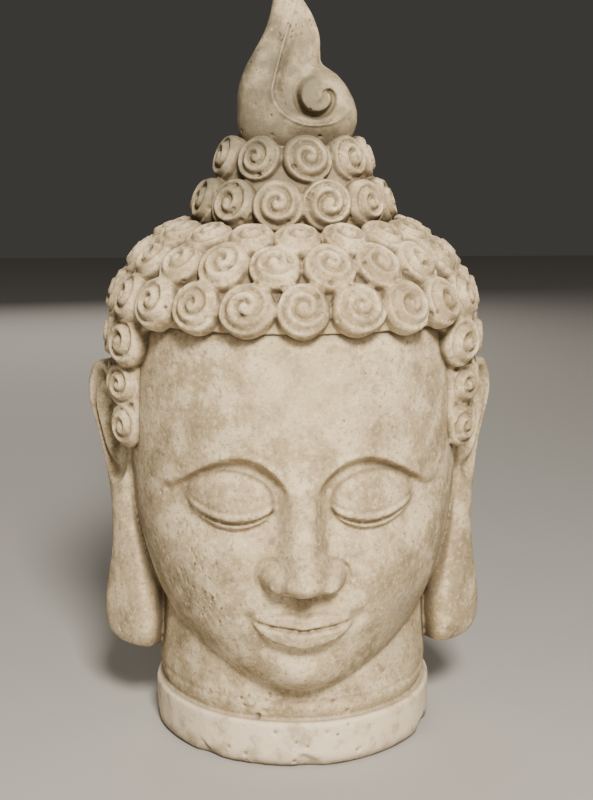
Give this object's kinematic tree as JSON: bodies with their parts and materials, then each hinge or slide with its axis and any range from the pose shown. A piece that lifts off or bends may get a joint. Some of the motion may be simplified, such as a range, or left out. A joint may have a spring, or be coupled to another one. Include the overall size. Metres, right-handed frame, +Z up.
{
  "type": "garden buddha head",
  "caption": "Cast-stone Buddha head on a round neck ring, with snail-shell curls, long ear lobes and a curled flame finial.",
  "frame": {"origin": "middle of the outline, on the flat underside of the neck ring that the head stands on", "axes": "+Z up through the crown, -Y the way the face looks, +X towards the head's own left ear"},
  "size_m": [0.2156, 0.2226, 0.4],
  "materials": {
    "cast_stone": "matte"
  },
  "bodies": {
    "root": {"buddha_head": "cast_stone"}
  },
  "joints": []
}
